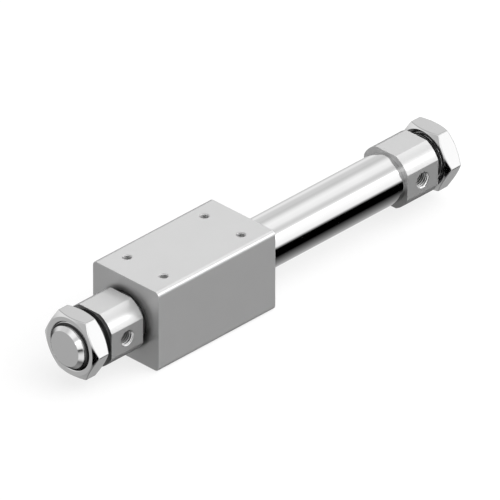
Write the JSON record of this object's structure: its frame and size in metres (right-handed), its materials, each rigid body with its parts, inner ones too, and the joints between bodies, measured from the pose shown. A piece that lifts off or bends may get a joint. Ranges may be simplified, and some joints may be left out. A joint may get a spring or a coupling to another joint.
{
  "type": "rodless pneumatic cylinder",
  "caption": "Magnetically coupled rodless air cylinder: a square slider block runs along a polished tube between flatted head covers with threaded, nutted mounting ends.",
  "frame": {"origin": "on the tube's axis, midway between the two head covers", "axes": "+X along the tube towards the rear cover, +Z out of the slider's screw-hole face, air ports on the -Y side"},
  "size_m": [0.2108, 0.036, 0.036],
  "materials": {
    "tube_stainless": "polished stainless steel",
    "block_anodised": "satin clear anodised",
    "cover_aluminium": "fine machined, satin anodised",
    "nut_plated_steel": "bright nickel plated steel",
    "ring_steel": "oiled spring steel",
    "turned_aluminium": "turned",
    "seal_rubber": "moulded nitrile",
    "wear_ring_plastic": "filled bearing resin",
    "magnet_nickel": "nickel plated rare earth magnet",
    "yoke_steel": "zinc plated rolled steel",
    "shaft_stainless": "ground stainless steel"
  },
  "bodies": {
    "tube_assembly": {"cylinder_tube": "tube_stainless", "front_head_cover": "cover_aluminium", "rear_head_cover": "cover_aluminium", "front_mounting_nut": "nut_plated_steel", "rear_mounting_nut": "nut_plated_steel", "front_tube_gasket": "seal_rubber", "rear_tube_gasket": "seal_rubber", "front_bumper": "seal_rubber", "rear_bumper": "seal_rubber"},
    "slider_core": {"front_slider_spacer": "turned_aluminium", "rear_slider_spacer": "turned_aluminium", "slider_magnet_1": "magnet_nickel", "slider_magnet_2": "magnet_nickel", "slider_magnet_3": "magnet_nickel", "slider_magnet_4": "magnet_nickel", "slider_yoke_1": "yoke_steel", "slider_yoke_2": "yoke_steel", "slider_yoke_3": "yoke_steel", "slider_yoke_4": "yoke_steel", "slider_yoke_5": "yoke_steel"},
    "slider": {"slider_block": "block_anodised", "slider_end_ring": "turned_aluminium", "slider_snap_ring": "ring_steel", "front_scraper": "seal_rubber", "rear_scraper": "seal_rubber", "front_slider_wear_ring": "wear_ring_plastic", "rear_slider_wear_ring": "wear_ring_plastic"},
    "piston": {"piston_shaft": "shaft_stainless", "front_piston": "turned_aluminium", "rear_piston": "turned_aluminium", "front_piston_seal": "seal_rubber", "rear_piston_seal": "seal_rubber", "front_piston_wear_ring": "wear_ring_plastic", "rear_piston_wear_ring": "wear_ring_plastic", "front_shaft_gasket": "seal_rubber", "rear_shaft_gasket": "seal_rubber", "front_piston_nut": "nut_plated_steel", "rear_piston_nut": "nut_plated_steel", "piston_magnet_1": "magnet_nickel", "piston_magnet_2": "magnet_nickel", "piston_magnet_3": "magnet_nickel", "piston_magnet_4": "magnet_nickel", "piston_yoke_1": "yoke_steel", "piston_yoke_2": "yoke_steel", "piston_yoke_3": "yoke_steel", "piston_yoke_4": "yoke_steel", "piston_yoke_5": "yoke_steel"}
  },
  "joints": [
    {"name": "slider_slide", "type": "slide", "parent": "tube_assembly", "child": "slider_core", "axis": [1, 0, 0], "range_m": [0, 0.078]},
    {"name": "slider_spin", "type": "hinge", "parent": "slider_core", "child": "slider", "pos_m": [-0.039, 0, 0], "axis": [1, 0, 0], "continuous": true},
    {"name": "piston_slide", "type": "slide", "parent": "tube_assembly", "child": "piston", "axis": [1, 0, 0], "range_m": [0, 0.078]}
  ],
  "couplings": [
    {"joint": "piston_slide", "follows": "slider_slide", "ratio": 1}
  ]
}
